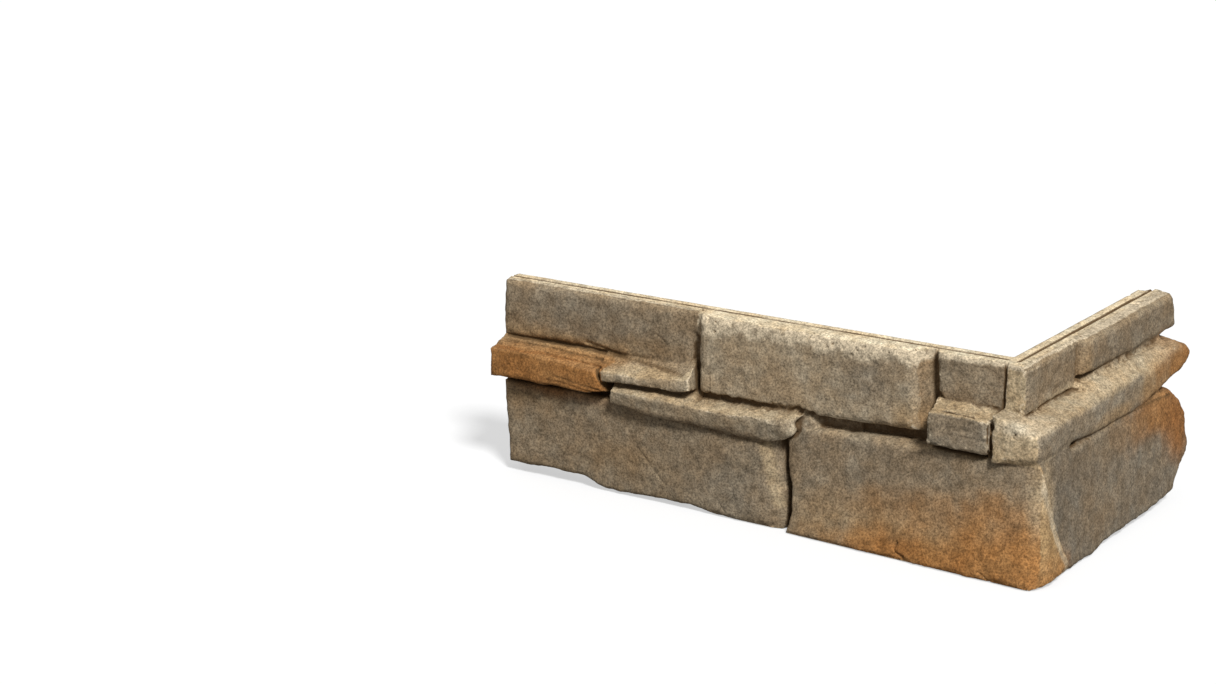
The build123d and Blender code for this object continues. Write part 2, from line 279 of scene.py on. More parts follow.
PATCHES = (
    Patch(Leg.LONG, (-398, 112), (44, 14), Pigment.WARM_TAUPE, 0.9),
    Patch(Leg.LONG, (-375, 110), (70, 9), Pigment.TAN, 0.6),
    Patch(Leg.LONG, (-330, 109), (56, 7), Pigment.TAN, 0.8),
    Patch(Leg.LONG, (-330, 126), (95, 24), Pigment.DARK_GREY, 0.35),
    Patch(Leg.LONG, (-360, 138), (60, 16), Pigment.BLUE_GREY, 0.5),
    Patch(Leg.LONG, (-285, 116), (50, 12), Pigment.WARM_TAUPE, 0.7),
    Patch(Leg.LONG, (-365, 102), (60, 6), Pigment.TAN, 0.5),
    Patch(Leg.LONG, (-385, 62), (50, 16), Pigment.WARM_TAUPE, 0.9),
    Patch(Leg.LONG, (-365, 73), (60, 10), Pigment.RUST, 0.7),
    Patch(Leg.LONG, (-303, 30), (50, 18), Pigment.WARM_TAUPE, 0.7),
    Patch(Leg.LONG, (-204, 24), (55, 28), Pigment.BLUE_GREY, 0.7),
    Patch(Leg.LONG, (-101, 126), (45, 28), Pigment.BLUE_GREY, 0.9),
    Patch(Leg.LONG, (-186, 112), (44, 20), Pigment.WARM_TAUPE, 0.4),
    Patch(Leg.LONG, (-70, 100), (14, 18), Pigment.TAN, 0.6),
    Patch(Leg.LONG, (-95, 60), (100, 34), Pigment.DARK_GREY, 0.35),
    Patch(Leg.LONG, (-24, 134), (24, 14), Pigment.PALE_TAUPE, 0.35),
    Patch(Leg.LONG, (-20, 12), (140, 46), Pigment.TAN, 0.75),
    Patch(Leg.LONG, (24, 14), (90, 44), Pigment.ORANGE, 0.85),
    Patch(Leg.LONG, (-70, 2), (85, 22), Pigment.ORANGE, 0.8),
    Patch(Leg.LONG, (-40, 4), (80, 14), Pigment.OCHRE, 0.5),
    Patch(Leg.LONG, (-130, 16), (34, 24), Pigment.TAN, 0.35),
    Patch(Leg.LONG, (-66, 30), (16, 7), Pigment.SAND, 0.35),
    Patch(Leg.LONG, (41, 66), (9, 30), Pigment.SAND, 0.5),
    Patch(Leg.RETURN, (-30, -4), (38, 30), Pigment.ORANGE, 0.8),
    Patch(Leg.RETURN, (-26, 66), (14, 26), Pigment.SAND, 0.7),
    Patch(Leg.RETURN, (160, 74), (75, 22), Pigment.OCHRE, 0.9),
    Patch(Leg.RETURN, (200, 62), (36, 36), Pigment.RUST, 0.95),
    Patch(Leg.RETURN, (90, 74), (65, 16), Pigment.WARM_TAUPE, 0.45),
    Patch(Leg.RETURN, (60, 30), (50, 24), Pigment.WARM_TAUPE, 0.4),
    Patch(Leg.RETURN, (120, 40), (60, 24), Pigment.BLUE_GREY, 0.4),
    Patch(Leg.RETURN, (170, 100), (70, 16), Pigment.TAN, 0.6),
    Patch(Leg.RETURN, (200, 102), (44, 24), Pigment.OCHRE, 0.9),
    Patch(Leg.RETURN, (95, 92), (40, 7), Pigment.TAN, 0.5),
    Patch(Leg.RETURN, (90, 115), (110, 8), Pigment.SAND, 0.9),
    Patch(Leg.RETURN, (90, 116), (100, 7), Pigment.CREAM, 0.3),
    Patch(Leg.RETURN, (140, 134), (85, 18), Pigment.DARK_GREY, 0.45),
    Patch(Leg.RETURN, (66, 130), (9, 22), Pigment.TAN, 0.4),
    Patch(Leg.LONG, (-365, 101), (66, 5), Pigment.OCHRE, 0.6),
    Patch(Leg.LONG, (-50, 36), (70, 20), Pigment.RUST, 0.25),
    Patch(Leg.LONG, (24, 111), (24, 6), Pigment.CREAM, 0.9),
    Patch(Leg.RETURN, (-26, 111), (26, 6), Pigment.CREAM, 0.9),
    Patch(Leg.LONG, (24, 98), (26, 12), Pigment.CREAM, 0.25),
)

STREAKS = (
    Streak(Leg.RETURN, ((-1, 0), (-12, 20), (-21.5, 40), (-30, 62), (-36, 84)), 5.0, Pigment.CREAM, 0.6),
    Streak(Leg.LONG, ((-412, 100.5), (-370, 101), (-317, 98.5)), 1.0, Pigment.RUST, 0.7),
    # These two dark lines are painted shade in the bedding cracks of the ledge.
    Streak(Leg.LONG, ((-411, 104), (-370, 104), (-314, 101.5)), 1.0, Pigment.JOINT, 0.6),
    Streak(Leg.LONG, ((-357, 87), (-338, 84.5), (-318, 82)), 0.9, Pigment.JOINT, 0.5),
    Streak(Leg.LONG, ((-370, 83.5), (-350, 82.5), (-324, 79.5)), 0.9, Pigment.RUST, 0.7),
    Streak(Leg.LONG, ((-180, 62), (-174.5, 44), (-168.5, 20)), 7.0, Pigment.SAND, 0.7),
    # A painted shadow line along the foot of the top left stone.
    Streak(Leg.LONG, ((-318, 107), (-285, 105), (-249, 103.5)), 1.6, Pigment.JOINT, 0.6),
    Streak(Leg.LONG, ((-128, 90.5), (-110, 90.5), (-93, 89.5)), 2.2, Pigment.CREAM, 0.9),
    Streak(Leg.LONG, ((-163, 68), (-157, 74), (-153, 82)), 4.5, Pigment.CREAM, 0.7),
    Streak(Leg.RETURN, ((-31, 88.6), (-21.5, 87.3), (-12, 88.3)), 1.5, Pigment.CREAM, 0.5),
    # Painted shade, partly joint stain: a dark hole and a thin dark line where the joint under the corner
    # slab is filled in.
    Streak(Leg.RETURN, ((17, 89), (23, 88.6), (27, 89)), 2.2, Pigment.JOINT, 0.9),
    Streak(Leg.RETURN, ((27, 88.6), (47, 87.4), (112, 86.4), (184, 82)), 1.3, Pigment.JOINT, 0.7),
)

RUBBED_PLACES = (
    RubbedPlace((34, 130, 114), (15, 95, 11)),
    RubbedPlace((32, -38, 102), (24, 16, 20)),
    RubbedPlace((38, -6, 88), (12, 32, 8)),
    RubbedPlace((-150, -41, 80), (24, 17, 17)),
    RubbedPlace((-145, -26, 151), (100, 12, 14)),
    RubbedPlace((-330, -22, 151), (92, 9, 10)),
    RubbedPlace((26, 90, 151), (9, 140, 5)),
    RubbedPlace((36, 218, 105), (20, 13, 17)),
    RubbedPlace((-242, -20, 134), (8, 9, 9)),
)

NUDGES = (
    Nudge((-142, -31, 89), (28, 20, 15), (-11.0, 0.0, 0.0)),
    Nudge((-170, -30, 18), (20, 30, 30), (4.5, 0.0, 0.0)),
    Nudge((-178, -30, 70), (18, 30, 26), (-4.0, 0.0, 0.0)),
    Nudge((36, 216, 103), (26, 28, 22), (0.0, 7.0, -1.0)),
    Nudge((-22, -42, 107), (36, 17, 14), (0.0, 0.0, 4.5)),
)

FILLINGS = (
    Filling((18, -34, 82), (37.5, 16, 92)),
    Filling((18, 28, 82), (36.5, 172, 90)),
    Filling((-162, -21.0, 74), (-137, -4, 90)),
    Filling((-146, -15.0, 76), (-108, -4, 93)),
    Filling((-112, -13.0, 78), (-54, -4, 94)),
    Filling((-249, -15.5, 86), (-235, -4, 147)),
    Filling((-249, -20, 133), (-235, -4, 148.5)),
)

CRACKS = (
    Crack(Leg.LONG, ((-290, 40), (-283, 34), (-276, 26), (-266, 16)), 0.8, 0.5),
    Crack(Leg.LONG, ((-220, 13.5), (-216, 9), (-213.5, 5)), 0.8, 0.7),
    Crack(Leg.LONG, ((-229, 120), (-229.5, 104), (-228, 90)), 0.8, 0.8),
    Crack(Leg.LONG, ((-338, 112), (-320, 108.5), (-304, 106)), 1.4, 1.4),
    Crack(Leg.LONG, ((-276, 127), (-273, 126), (-270, 123)), 0.8, 0.9),
    Crack(Leg.LONG, ((-66, 13), (-69, 8), (-66, 5), (-60, 3)), 0.9, 1.2),
    Crack(Leg.LONG, ((0, 6), (4, 4), (9, 1)), 0.9, 1.0),
    Crack(Leg.LONG, ((-412, 100.5), (-370, 101), (-317, 98.5)), 0.8, 0.6),
    Crack(Leg.LONG, ((-411, 104), (-370, 104), (-314, 101.5)), 0.8, 0.6),
    Crack(Leg.LONG, ((-357, 87), (-338, 84.5), (-318, 82)), 0.8, 0.8),
    Crack(Leg.LONG, ((-370, 83.5), (-350, 82.5), (-324, 79.5)), 0.8, 0.8),
    Crack(Leg.LONG, ((-45, 99), (-20, 98), (0, 98.5)), 0.8, 0.6),
    Crack(Leg.LONG, ((-40, 104), (-18, 103), (-4, 103.5)), 0.7, 0.4),
    Crack(Leg.LONG, ((4, 101), (18, 100), (38, 100.5)), 0.7, 0.4),
    Crack(
        Leg.LONG, ((-238, 88.6), (-230, 89), (-200, 89.7), (-170, 90.8), (-155, 91.7), (-145, 90)), 2.0, 4.0
    ),
    Crack(Leg.LONG, ((-46, 114.5), (0, 114.5)), 1.2, 2.0),
    Crack(Leg.LONG, ((3.5, 112), (1.5, 104), (3, 96), (2, 88)), 1.3, 4.0),
    Crack(Leg.RETURN, ((-22, 114.5), (60, 115)), 1.2, 1.5),
    Crack(Leg.RETURN, ((64, 119.5), (140, 119.5), (205, 119)), 1.2, 1.5),
)

PITS = (
    Pit(Leg.LONG, (21, 107), 1.1, 1.8),
    Pit(Leg.LONG, (20, 104.5), 0.9, 1.2),
    Pit(Leg.LONG, (27, 98), 0.7, 0.8),
    Pit(Leg.LONG, (-364, 54), 0.9, 0.9),
    Pit(Leg.LONG, (-110, 72), 0.8, 0.8),
)

SHAPING = (
    Relief("wobble", Mask.LOOSE, (26.0, 26.0, 26.0), 3.2, sideways=True),
    Relief("ragged", Mask.LOOSE, (8.0, 8.0, 8.0), 1.3, sideways=True),
    Relief("hewn", Mask.FACE, (36.0, 36.0, 24.0), 1.6),
    Relief("knocks", Mask.FACE, (9.0, 9.0, 6.0), 0.4),
    Relief("chips", Mask.ARRIS, (7.0, 7.0, 5.0), 1.5, 0.72, 3),
    Relief("bedding", Mask.BEDDING, (70.0, 70.0, 2.4), 0.9),
)
GRAIN = (
    Relief("sand", Mask.FACE, (1.9, 1.9, 1.9), 0.10, 0.5, 1),
    Relief("cast_back", Mask.WALL, (14.0, 14.0, 14.0), 0.5, 1.0, 3),
)


def smooth_step(low: float, high: float, values: np.ndarray) -> np.ndarray:
    """Blend from 0 at the low value to 1 at the high value, with soft ends.

    Args:
        low: The value that gives 0.
        high: The value that gives 1; it may be below low.
        values: The values to blend.

    Returns:
        The blend for each value.
    """
    share = np.clip((values - low) / (high - low), 0.0, 1.0)
    return share * share * (3.0 - 2.0 * share)


def lattice_noise(points: np.ndarray, size: float, seed: int) -> np.ndarray:
    """Soft noise between -1 and 1, the same on every run, on a lattice that lies askew.

    Args:
        points: Places in millimetres, one row each.
        size: The size of the noise's features in millimetres.
        seed: A number that picks one of many such noises.

    Returns:
        The noise at each place.
    """
    askew = np.array(Euler(LATTICE_TURN).to_matrix())
    scaled = points @ askew / size + LATTICE_SHIFT
    cell = np.floor(scaled).astype(np.int64)
    share = scaled - cell
    share = share * share * (3.0 - 2.0 * share)
    total = np.zeros(len(points))
    for corner in range(8):
        step = np.array([corner & 1, corner >> 1 & 1, corner >> 2 & 1])
        keys = (cell + step) * np.array(HASH_AXES)
        hashed = (keys[:, 0] ^ keys[:, 1] ^ keys[:, 2] ^ (seed * HASH_SEED)) & HASH_BITS
        for shift, factor in HASH_ROUNDS:
            hashed = (hashed ^ (hashed >> shift)) * factor & HASH_BITS
        weight = np.prod(np.where(step == 1, share, 1.0 - share), axis=1)
        total += weight * ((hashed >> 8 & HASH_LEVELS) / (HASH_LEVELS / 2) - 1.0)
    return total


@dataclass(frozen=True)
class Ramp:
    """A soft blend from 0 at its low value to 1 at its high value."""

    low: float
    high: float

    def of(self, values: np.ndarray) -> np.ndarray:
        """Blend the values."""
        return smooth_step(self.low, self.high, values)


@dataclass(frozen=True)
class Noise:
    """A soft noise: the size of its features in millimetres, its seed and its strength."""

    size: float
    seed: int
    strength: float = 1.0

    def at(self, points: np.ndarray) -> np.ndarray:
        """Give the noise at each place."""
        return self.strength * lattice_noise(points, self.size, self.seed)


def line_distance(line: Points, along: np.ndarray, up: np.ndarray) -> np.ndarray:
    """Distance from each place on a leg to a line of points.

    Args:
        line: The points, as distances along the leg and heights.
        along: The places' distances along the leg.
        up: The places' heights.

    Returns:
        The distances.
    """
    nearest = np.full(len(along), FAR)
    for (u0, z0), (u1, z1) in zip(line, line[1:]):
        du, dz = u1 - u0, z1 - z0
        share = np.clip(((along - u0) * du + (up - z0) * dz) / (du * du + dz * dz), 0.0, 1.0)
        nearest = np.minimum(nearest, np.hypot(along - u0 - share * du, up - z0 - share * dz))
    return nearest


def outline_distance(outline: Points, along: np.ndarray, up: np.ndarray) -> np.ndarray:
    """Distance from each place on a leg to a closed outline, below 0 inside it.

    Args:
        outline: The corners, as distances along the leg and heights.
        along: The places' distances along the leg.
        up: The places' heights.

    Returns:
        The signed distances.
    """
    inside = np.zeros(len(along), dtype=bool)
    for (u0, z0), (u1, z1) in zip(outline, outline[1:] + outline[:1]):
        if z0 == z1:
            continue
        crosses = (z0 > up) != (z1 > up)
        inside ^= crosses & (along < u0 + (up - z0) * (u1 - u0) / (z1 - z0))
    distance = line_distance(outline + outline[:1], along, up)
    return np.where(inside, -distance, distance)


class Surface:
    """The points, normals and edges of a mesh as arrays, in millimetres."""

    def __init__(self, mesh: bpy.types.Mesh) -> None:
        """Read the mesh."""
        count = len(mesh.vertices)
        flat = np.empty(count * 3, np.float32)
        mesh.vertices.foreach_get("co", flat)
        self.mesh = mesh
        self.points = flat.reshape(-1, 3).astype(float) / MM
        mesh.vertex_normals.foreach_get("vector", flat)
        self.normals = flat.reshape(-1, 3).astype(float)

    def on_return(self) -> np.ndarray:
        """Tell which points belong to the return leg."""
        x, y = self.points[:, 0], self.points[:, 1]
        turned = self.normals[:, 0] > -self.normals[:, 1]
        return (x > 0) & ((y > CORNER_BACK) | turned)

    def on_leg(self, leg: Leg) -> np.ndarray:
        """Tell which points belong to a leg."""
        on_return = self.on_return()
        return on_return if leg is Leg.RETURN else ~on_return

    def along(self, leg: Leg) -> np.ndarray:
        """Give each point's distance along a leg."""
        return self.points[:, 1 if leg is Leg.RETURN else 0]

    def up(self) -> np.ndarray:
        """Give each point's height."""
        return self.points[:, 2]

    def on_wall(self) -> np.ndarray:
        """Tell which points lie on the two flat wall faces."""
        x, y = self.points[:, 0], self.points[:, 1]
        return ((np.abs(y) < SKIN) & (x < SKIN)) | ((np.abs(x) < SKIN) & (y > -SKIN))

    def from_wall(self) -> np.ndarray:
        """Give each point's distance from the wall face of its leg."""
        return np.where(self.on_return(), self.points[:, 0], -self.points[:, 1])

    def convexity(self, rounds: int) -> np.ndarray:
        """Measure how far each point stands out from its smoothed surroundings.

        Args:
            rounds: How often the surroundings are averaged.

        Returns:
            The distances in millimetres, above 0 on edges and below 0 in hollows.
        """
        edges = np.empty(len(self.mesh.edges) * 2, np.int32)
        self.mesh.edges.foreach_get("vertices", edges)
        first, second = edges.reshape(-1, 2).T
        count = len(self.points)
        share = 1.0 / np.maximum(np.bincount(edges, minlength=count), 1)
        smooth = self.points.copy()
        for _ in range(rounds):
            for axis in range(3):
                values = smooth[:, axis]
                total = np.bincount(first, values[second], count)
                total += np.bincount(second, values[first], count)
                smooth[:, axis] = total * share
        return np.einsum("ij,ij->i", self.points - smooth, self.normals)

    def tree(self) -> BVHTree:
        """Make a tree of the mesh's faces for casting rays, in millimetres."""
        faces = [tuple(face.vertices) for face in self.mesh.polygons]
        return BVHTree.FromPolygons([Vector(point) for point in self.points], faces)

    def room(self, reach: float) -> np.ndarray:
        """Measure the free room in front of each point, up to a reach, in millimetres."""
        lift = 0.3
        tree = self.tree()
        free = np.full(len(self.points), reach)
        for index, (point, normal) in enumerate(zip(self.points, self.normals)):
            way = Vector(normal)
            hit = tree.ray_cast(Vector(point) + way * lift, way, reach)
            if hit[3] is not None:
                free[index] = hit[3]
        return free

    def shelter(self, rays: int, reach: float) -> np.ndarray:
        """Measure how much of the air round each point is closed off.

        Args:
            rays: How many directions are tried at each point.
            reach: How far each direction is tried, in millimetres.

        Returns:
            The closed share, from 0 in the open to 1 deep in a joint.
        """
        lift = 0.4
        tree = self.tree()
        turn = math.pi * (3.0 - math.sqrt(5.0))
        heights = (np.arange(rays) + 0.5) / rays
        spread = np.sqrt(1.0 - heights**2)
        angles = turn * np.arange(rays)
        ways = np.stack([spread * np.cos(angles), spread * np.sin(angles), heights], axis=1)
        closed = np.zeros(len(self.points))
        for index, (point, normal) in enumerate(zip(self.points, self.normals)):
            facing = Vector(normal).to_track_quat("Z", "Y")
            start = Vector(point) + Vector(normal) * lift
            for way in ways:
                far = tree.ray_cast(start, facing @ Vector(way), reach)[3]
                if far is not None:
                    closed[index] += (1.0 - far / reach) / rays
        return closed


def add_group(piece: bpy.types.Object, mask: Mask, weights: np.ndarray) -> None:
    """Store weights as a vertex group, in a few dozen levels.

    Args:
        piece: The object.
        mask: The part of the surface that the weights describe.
        weights: One weight for each vertex, from 0 to 1.
    """
    levels = 40
    group = piece.vertex_groups.new(name=mask.value)
    rounded = np.round(np.clip(weights, 0.0, 1.0) * levels).astype(int)
    for level in range(1, levels + 1):
        members = np.flatnonzero(rounded == level)
        if len(members):
            group.add(members.tolist(), level / levels, "REPLACE")


def add_values(mesh: bpy.types.Mesh, name: str, values: np.ndarray) -> None:
    """Store one number for each vertex as an attribute.

    Args:
        mesh: The mesh.
        name: The attribute's name.
        values: The numbers.
    """
    layer = mesh.attributes.new(name, "FLOAT", "POINT")
    layer.data.foreach_set("value", values.astype(np.float32))


def read_values(mesh: bpy.types.Mesh, name: str) -> np.ndarray:
    """Read an attribute that holds one number for each vertex.

    Args:
        mesh: The mesh.
        name: The attribute's name.

    Returns:
        The numbers.
    """
    values = np.empty(len(mesh.vertices), np.float32)
    mesh.attributes[name].data.foreach_get("value", values)
    return values.astype(float)


def add_colours(mesh: bpy.types.Mesh, name: str, colours: np.ndarray) -> None:
    """Store one colour for each vertex as an attribute.

    Args:
        mesh: The mesh.
        name: The attribute's name.
        colours: One row of red, green and blue for each vertex, in linear light.
    """
    layer = mesh.attributes.new(name, "FLOAT_COLOR", "POINT")
    full = np.concatenate([colours, np.ones((len(colours), 1))], axis=1)
    layer.data.foreach_set("color", full.astype(np.float32).ravel())


@dataclass(frozen=True)
class ReliefLimits:
    """Where the relief reaches, as soft limits. Lengths are in millimetres."""

    open_room: Ramp = Ramp(1.5, 7.0)
    room_reach: float = 12.0
    sharp_arris: Ramp = Ramp(0.12, 0.5)
    arris_rounds: int = 14
    worn_edge: Ramp = Ramp(0.06, 0.30)
    worn_rounds: int = 4
    top_skin: Ramp = Ramp(1.5, 0.4)
    top_rise: float = 0.8
    top_calm: float = 0.7
    bedding_rise: float = 0.7
    stone_edge: Ramp = Ramp(1.5, -1.5)
    slab_edge: Ramp = Ramp(4.0, 2.0)
    rubbed_edge: Ramp = Ramp(1.0, 0.7)
    rubbed_share: float = 0.5
    rubbed_rounds: int = 110
    nudge_edge: Ramp = Ramp(1.0, 0.3)


@dataclass(frozen=True)
class Carving:
    """How the pores, cracks and the scored line are cut, in millimetres."""

    pore_depth: float = 1.1
    pore_place: Noise = Noise(2.8, 11)
    pore_mouth: Ramp = Ramp(0.45, 0.8)
    pore_skin: float = 0.5
    wall_place: Noise = Noise(5.0, 12)
    wall_mouth: Ramp = Ramp(0.62, 0.8)
    crack_swell: Noise = Noise(3.0, 5, 0.5)
    crack_wander: Noise = Noise(6.0, 6, 0.8)
    groove_inset: float = 8.5
    groove_width: float = 2.0
    groove_depth: float = 1.9
    groove_reach: float = 2.5
    groove_wander: Noise = Noise(30.0, 9, 0.5)
    top_layer: float = 3.0


@dataclass(frozen=True)
class Painting:
    """How the pigments and the painted shade in the groove and the joints are laid, as soft limits and
    noises. Lengths are in millimetres.
    """

    outline_wander: Noise = Noise(7.0, 2, 1.2)
    patch_blotch: tuple[Noise, Noise] = (Noise(22.0, 3, 0.22), Noise(8.0, 4, 0.12))
    patch_edge: Ramp = Ramp(1.2, 0.2)
    streak_edge: Ramp = Ramp(1.0, 0.3)
    ledge_rise: Ramp = Ramp(0.3, 0.75)
    ledge_share: float = 0.9
    ledge_worn: float = 1.25
    bed_rise: Ramp = Ramp(0.75, 0.92)
    bed_skin: Ramp = Ramp(3.0, 1.0)
    bed_front: Ramp = Ramp(15.0, 12.5)
    crown_line: tuple[Noise, Noise] = (Noise(12.0, 7, 0.26), Noise(4.0, 8, 0.18))
    crown_edge: Ramp = Ramp(1.25, 0.45)
    crown_least: float = 0.01
    # Painted shade: darker in the scored groove and where the surface closes in, partly joint stain.
    groove_shade: Ramp = Ramp(0.1, 0.7)
    joint_stain_and_shade: Ramp = Ramp(0.12, 0.45)
    ledge_less_joint_shade: float = 0.4
    shelter_rays: int = 14
    shelter_reach: float = 14.0


@dataclass
class CornerSlip:
    """The casting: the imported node's form with the relief and the colours of hewn stone.

    Sizes are in millimetres.
    """

    node: bpy.types.Object
    voxel: float = 0.85
    draft_voxel: float = 1.6
    doubles: float = 0.01
    triangles: int = 190_000
    height: float = 150.0
    slab_root: float = 28.0
    slab_front: float = 39.0
    slab_top: float = 84.0
    slab_lean: float = 0.3
    limits: ReliefLimits = ReliefLimits()
    carving: Carving = Carving()
    painting: Painting = Painting()
    piece: bpy.types.Object | None = None

    def build(self) -> bpy.types.Object:
        """Make the casting's mesh.

        Returns:
            The finished piece, at the origin.
        """
        self.copy_node()
        for filling in FILLINGS:
            self.fill(filling)
        self.remesh()
        for nudge in NUDGES:
            self.shift(nudge)
        self.tuck()
        self.mask()
        self.rub()
        for relief in SHAPING:
            self.roughen(relief)
        self.wear()
        for relief in GRAIN:
            self.roughen(relief)
        self.carve()
        self.thin_out()
        self.paint()
        return self.piece

    def copy_node(self) -> None:
        """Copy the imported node's mesh into a new piece and merge its loose triangles."""
        mesh = self.node.data.copy()
        mesh.materials.clear()
        self.piece = bpy.data.objects.new("corner_slip_stone", mesh)
        bpy.context.scene.collection.objects.link(self.piece)
        bpy.ops.object.select_all(action="DESELECT")
        self.piece.select_set(True)
        bpy.context.view_layer.objects.active = self.piece
        bpy.ops.object.mode_set(mode="EDIT")
        bpy.ops.mesh.select_all(action="SELECT")
        bpy.ops.mesh.remove_doubles(threshold=self.doubles * MM)
        bpy.ops.object.mode_set(mode="OBJECT")

    def fill(self, filling: Filling) -> None:
        """Close a stretch of a joint where the stones have run together.

        Args:
            filling: The box of concrete in the joint.
        """
        low, high = Vector(filling.low) * MM, Vector(filling.high) * MM
        bpy.ops.object.select_all(action="DESELECT")
        bpy.ops.mesh.primitive_cube_add(size=1.0, location=(low + high) / 2.0, scale=high - low)
        bpy.ops.object.transform_apply(location=True, rotation=True, scale=True)
        self.piece.select_set(True)
        bpy.context.view_layer.objects.active = self.piece
        bpy.ops.object.join()

    def apply(self, modifier: bpy.types.Modifier) -> None:
        """Apply a modifier to the piece."""
        bpy.ops.object.modifier_apply(modifier=modifier.name)

    def remesh(self) -> None:
        """Give the form an even, fine mesh that can take relief."""
        even = self.piece.modifiers.new("even", "REMESH")
        even.mode = "VOXEL"
        even.voxel_size = self.voxel * MM
        even.use_smooth_shade = True
        self.apply(even)

    def move(self, points: np.ndarray) -> None:
        """Put the piece's vertices at new places, in millimetres."""
        self.piece.data.vertices.foreach_set("co", (points * MM).astype(np.float32).ravel())
        self.piece.data.update()

    def shift(self, nudge: Nudge) -> None:
        """Push a part of the surface a little to one side, most in its middle.

        Args:
            nudge: The part and its push.
        """
        surface = Surface(self.piece.data)
        far = np.abs(surface.points - np.array(nudge.middle)) / np.array(nudge.reach)
        weight = np.prod(self.limits.nudge_edge.of(far), axis=1)
        self.move(surface.points + weight[:, None] * np.array(nudge.push))

    def tuck(self) -> None:
        """Lean the face of the long slab back towards its lower edge."""
        surface = Surface(self.piece.data)
        points, up = surface.points, surface.up()
        slab = Stone.SLAB.value
        within = self.limits.slab_edge.of(outline_distance(slab.outline, surface.along(slab.leg), up))
        out = np.clip((-points[:, 1] - self.slab_root) / (self.slab_front - self.slab_root), 0.0, 1.0)
        below = np.clip(self.slab_top - up, 0.0, None) * within * out * surface.on_leg(slab.leg)
        points[:, 1] += self.slab_lean * below
        self.move(points)

    def mask(self) -> None:
        """Mark which parts of the surface take which relief."""
        rules = self.limits
        surface = Surface(self.piece.data)
        up, rising = surface.up(), surface.normals[:, 2]
        wall = surface.on_wall()
        loose = ~wall & (up >= SKIN)
        room = rules.open_room.of(surface.room(rules.room_reach))
        arris = rules.sharp_arris.of(surface.convexity(rules.arris_rounds))
        top = rules.top_skin.of(self.height - up) * (rising > rules.top_rise)
        bedding = np.zeros(len(up))
        for stone in Stone:
            face = stone.value
            if face.bedding == 0.0:
                continue
            distance = outline_distance(face.outline, surface.along(face.leg), up)
            inside = surface.on_leg(face.leg) * rules.stone_edge.of(distance)
            bedding = np.maximum(bedding, face.bedding * inside)
        rubbed = np.zeros(len(up))
        for place in RUBBED_PLACES:
            far = np.abs(surface.points - np.array(place.middle)) / np.array(place.reach)
            rubbed = np.maximum(rubbed, rules.rubbed_edge.of(far.max(axis=1)))
        add_group(self.piece, Mask.LOOSE, loose * (1.0 - top))
        add_group(self.piece, Mask.RUBBED, loose * rubbed)
        add_group(self.piece, Mask.FACE, loose * room * (1.0 - rules.top_calm * top))
        add_group(self.piece, Mask.ARRIS, loose * room * arris)
        steep = np.abs(rising) < rules.bedding_rise
        add_group(self.piece, Mask.BEDDING, loose * room * bedding * steep)
        add_group(self.piece, Mask.WALL, wall.astype(float))

    def rub(self) -> None:
        """Round the places that are rubbed smooth."""
        round_off = self.piece.modifiers.new("round_off", "SMOOTH")
        round_off.factor = self.limits.rubbed_share
        round_off.iterations = self.limits.rubbed_rounds
        round_off.vertex_group = Mask.RUBBED.value
        self.apply(round_off)

    def roughen(self, relief: Relief) -> None:
        """Displace the surface by a noise.

        Args:
            relief: The noise and the part of the surface that it shapes.
        """
        grain = bpy.data.objects.new(relief.name, None)
        grain.scale = [size * MM for size in relief.grain]
        bpy.context.scene.collection.objects.link(grain)
        bpy.context.view_layer.update()
        noise = bpy.data.textures.new(relief.name, "CLOUDS")
        noise.noise_scale = 1.0
        noise.noise_depth = relief.octaves
        noise.noise_basis = "IMPROVED_PERLIN"
        shape = self.piece.modifiers.new(relief.name, "DISPLACE")
        shape.texture = noise
        shape.texture_coords = "OBJECT"
        shape.texture_coords_object = grain
        if relief.sideways:
            noise.cloud_type = "COLOR"
            shape.direction = "RGB_TO_XYZ"
        shape.vertex_group = relief.mask.value
        shape.strength = relief.depth * MM
        shape.mid_level = relief.level
        self.apply(shape)
        bpy.data.objects.remove(grain)
        bpy.data.textures.remove(noise)

    def wear(self) -> None:
        """Store how sharp each point's edge is."""
        rules = self.limits
        standing_out = Surface(self.piece.data).convexity(rules.worn_rounds)
        add_values(self.piece.data, "edge", rules.worn_edge.of(standing_out))

    def crown(self, surface: Surface, depth: np.ndarray) -> np.ndarray:
        """Tell which points lie on the crowns along the top, which end in an uneven line.

        Args:
            surface: The piece's surface.
            depth: How far down the crown reaches at each point, in millimetres.

        Returns:
            1 at the top, 0 below the crown.
        """
        rules = self.painting
        ragged = sum(noise.at(surface.points) for noise in rules.crown_line)
        down = (self.height - surface.up()) / np.maximum(depth, rules.crown_least)
        return rules.crown_edge.of(down + ragged)

